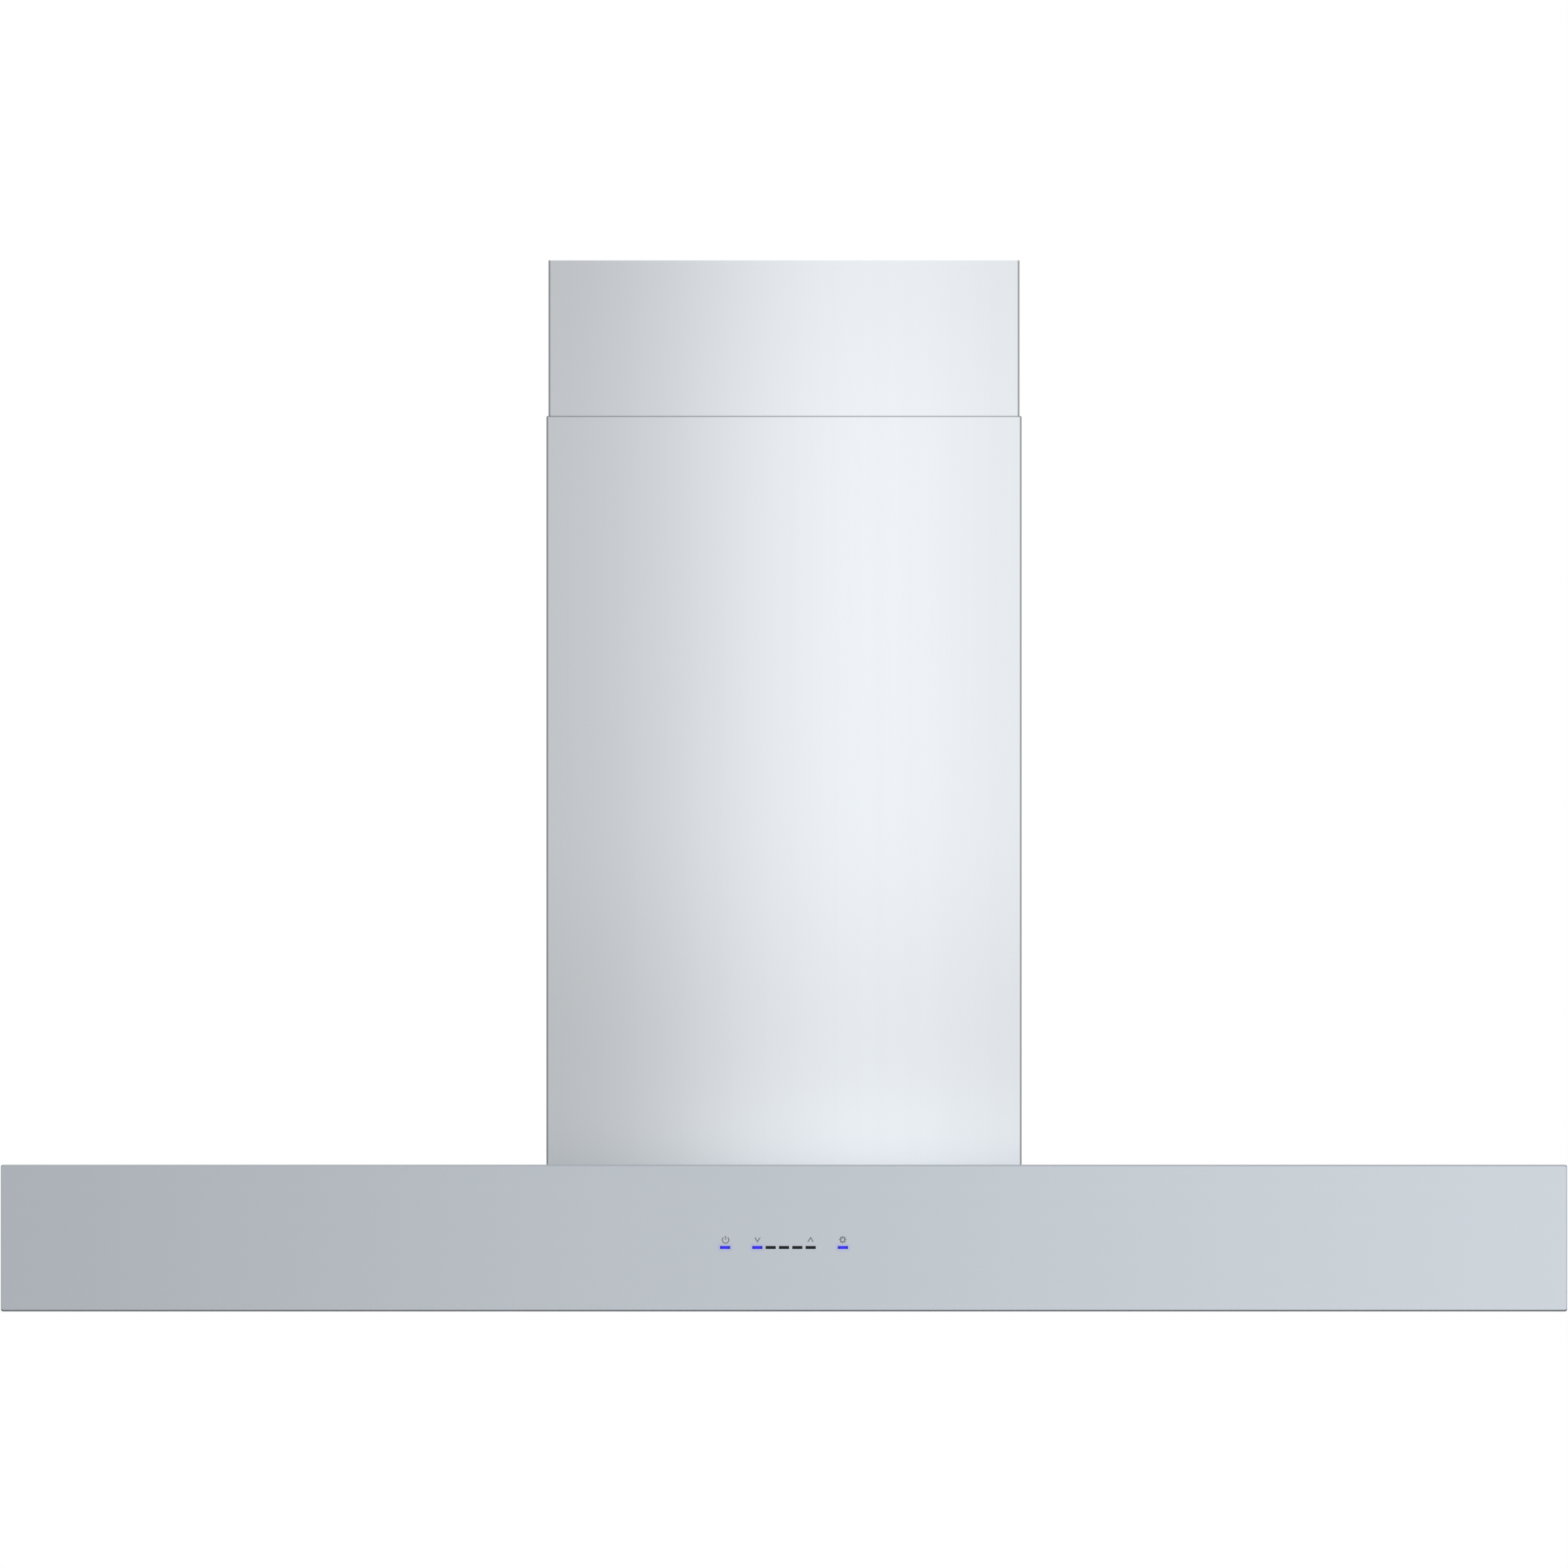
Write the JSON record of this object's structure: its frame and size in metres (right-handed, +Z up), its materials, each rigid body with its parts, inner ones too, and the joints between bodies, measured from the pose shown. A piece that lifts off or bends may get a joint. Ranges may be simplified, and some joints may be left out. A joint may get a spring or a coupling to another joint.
{
  "type": "island range hood",
  "caption": "Ceiling-hung island range hood: slim steel box canopy with touch control, baffle filters, lamps and a blower, under two telescopic chimney covers.",
  "frame": {"origin": "centre of the ceiling plate's top face, on the ceiling", "axes": "+X to the right as seen from the front, +Y to the rear, +Z up"},
  "size_m": [1.0668, 0.7, 0.7185],
  "materials": {
    "cover_steel": "stainless steel with a fine vertical brush",
    "canopy_steel": "stainless steel with a fine long brush",
    "panel_steel": "satin stainless steel underside",
    "filter_steel": "polished stainless baffles and frames",
    "galvanised_steel": "galvanised sheet with a faint spangle",
    "zinc_fasteners": "bright zinc plate",
    "shaft_steel": "ground steel",
    "motor_paint": "black stove enamel",
    "black_plastic": "moulded, fine texture",
    "window_plastic": "smoked windows, three of them lit blue",
    "board_green": "solder mask over glass fibre",
    "cable_jacket": "soft cable jacket",
    "grommet_rubber": "moulded rubber",
    "lens_white": "frosted lamp lens"
  },
  "bodies": {
    "ceiling_frame": {"ceiling_plate": "galvanised_steel", "cover_fixing_screws": "zinc_fasteners", "upper_post_bolts": "zinc_fasteners", "upper_braces": "galvanised_steel", "upper_post_front_left": "galvanised_steel", "upper_post_front_right": "galvanised_steel", "upper_post_rear_left": "galvanised_steel", "upper_post_rear_right": "galvanised_steel"},
    "upper_cover": {"upper_cover_wrap": "cover_steel", "upper_cover_rear_panel": "cover_steel", "upper_cover_screws": "zinc_fasteners"},
    "hood": {"lower_cover_wrap": "cover_steel", "lower_cover_rear_panel": "cover_steel", "lower_cover_screws": "zinc_fasteners", "lower_post_front_left": "galvanised_steel", "lower_post_front_right": "galvanised_steel", "lower_post_rear_left": "galvanised_steel", "lower_post_rear_right": "galvanised_steel", "lower_post_bolts": "zinc_fasteners", "post_clamp_bolts": "zinc_fasteners", "canopy_shell": "canopy_steel", "bottom_panel": "panel_steel", "bottom_panel_screws": "zinc_fasteners", "blower_box": "galvanised_steel", "blower_box_screws": "zinc_fasteners", "scroll_wrapper": "galvanised_steel", "scroll_side_left": "galvanised_steel", "scroll_side_right": "galvanised_steel", "motor_housing": "motor_paint", "motor_bearings": "shaft_steel", "motor_bracket": "galvanised_steel", "motor_grommets": "grommet_rubber", "outlet_adapter": "galvanised_steel", "damper_pin": "shaft_steel", "junction_box": "galvanised_steel", "junction_cover": "galvanised_steel", "control_box": "galvanised_steel", "control_box_cover": "galvanised_steel", "power_board": "board_green", "supply_cable": "cable_jacket", "control_cable": "cable_jacket", "cable_clips": "black_plastic", "light_guide": "window_plastic", "touch_board": "board_green", "touch_carrier": "black_plastic", "lamp_housings": "panel_steel", "lamp_lenses": "lens_white"},
    "blower_wheel": {"blower_wheel": "galvanised_steel", "motor_shaft": "shaft_steel"},
    "damper_flap_front": {"damper_flap_front": "galvanised_steel"},
    "damper_flap_rear": {"damper_flap_rear": "galvanised_steel"},
    "filter_left": {"filter_frame_left": "filter_steel", "filter_baffles_left": "filter_steel"},
    "filter_centre": {"filter_frame_centre": "filter_steel", "filter_baffles_centre": "filter_steel"},
    "filter_right": {"filter_frame_right": "filter_steel", "filter_baffles_right": "filter_steel"},
    "latch_left": {"filter_latch_left": "filter_steel"},
    "latch_centre": {"filter_latch_centre": "filter_steel"},
    "latch_right": {"filter_latch_right": "filter_steel"}
  },
  "joints": [
    {"name": "height_adjust", "type": "slide", "parent": "ceiling_frame", "child": "hood", "axis": [0, 0, -1], "range_m": [-0.085, 0.27]},
    {"name": "upper_cover_drop", "type": "slide", "parent": "ceiling_frame", "child": "upper_cover", "axis": [0, 0, -1], "range_m": [0, 0.095]},
    {"name": "blower_spin", "type": "hinge", "parent": "hood", "child": "blower_wheel", "pos_m": [0, -0.01, -0.4855], "axis": [1, 0, 0], "continuous": true},
    {"name": "damper_front_swing", "type": "hinge", "parent": "hood", "child": "damper_flap_front", "pos_m": [0, 0, -0.284], "axis": [-1, 0, 0], "range_deg": [0, 75]},
    {"name": "damper_rear_swing", "type": "hinge", "parent": "hood", "child": "damper_flap_rear", "pos_m": [0, 0, -0.284], "axis": [1, 0, 0], "range_deg": [0, 75]},
    {"name": "filter_left_swing", "type": "hinge", "parent": "hood", "child": "filter_left", "pos_m": [-0.262, 0.191, -0.7085], "axis": [1, 0, 0], "range_deg": [0, 75]},
    {"name": "filter_centre_swing", "type": "hinge", "parent": "hood", "child": "filter_centre", "pos_m": [0, 0.191, -0.7085], "axis": [1, 0, 0], "range_deg": [0, 75]},
    {"name": "filter_right_swing", "type": "hinge", "parent": "hood", "child": "filter_right", "pos_m": [0.262, 0.191, -0.7085], "axis": [1, 0, 0], "range_deg": [0, 75]},
    {"name": "latch_left_draw", "type": "slide", "parent": "filter_left", "child": "latch_left", "axis": [0, 1, 0], "range_m": [0, 0.0095], "stiffness_N_per_m": 400, "springref_m": -0.002},
    {"name": "latch_centre_draw", "type": "slide", "parent": "filter_centre", "child": "latch_centre", "axis": [0, 1, 0], "range_m": [0, 0.0095], "stiffness_N_per_m": 400, "springref_m": -0.002},
    {"name": "latch_right_draw", "type": "slide", "parent": "filter_right", "child": "latch_right", "axis": [0, 1, 0], "range_m": [0, 0.0095], "stiffness_N_per_m": 400, "springref_m": -0.002}
  ]
}
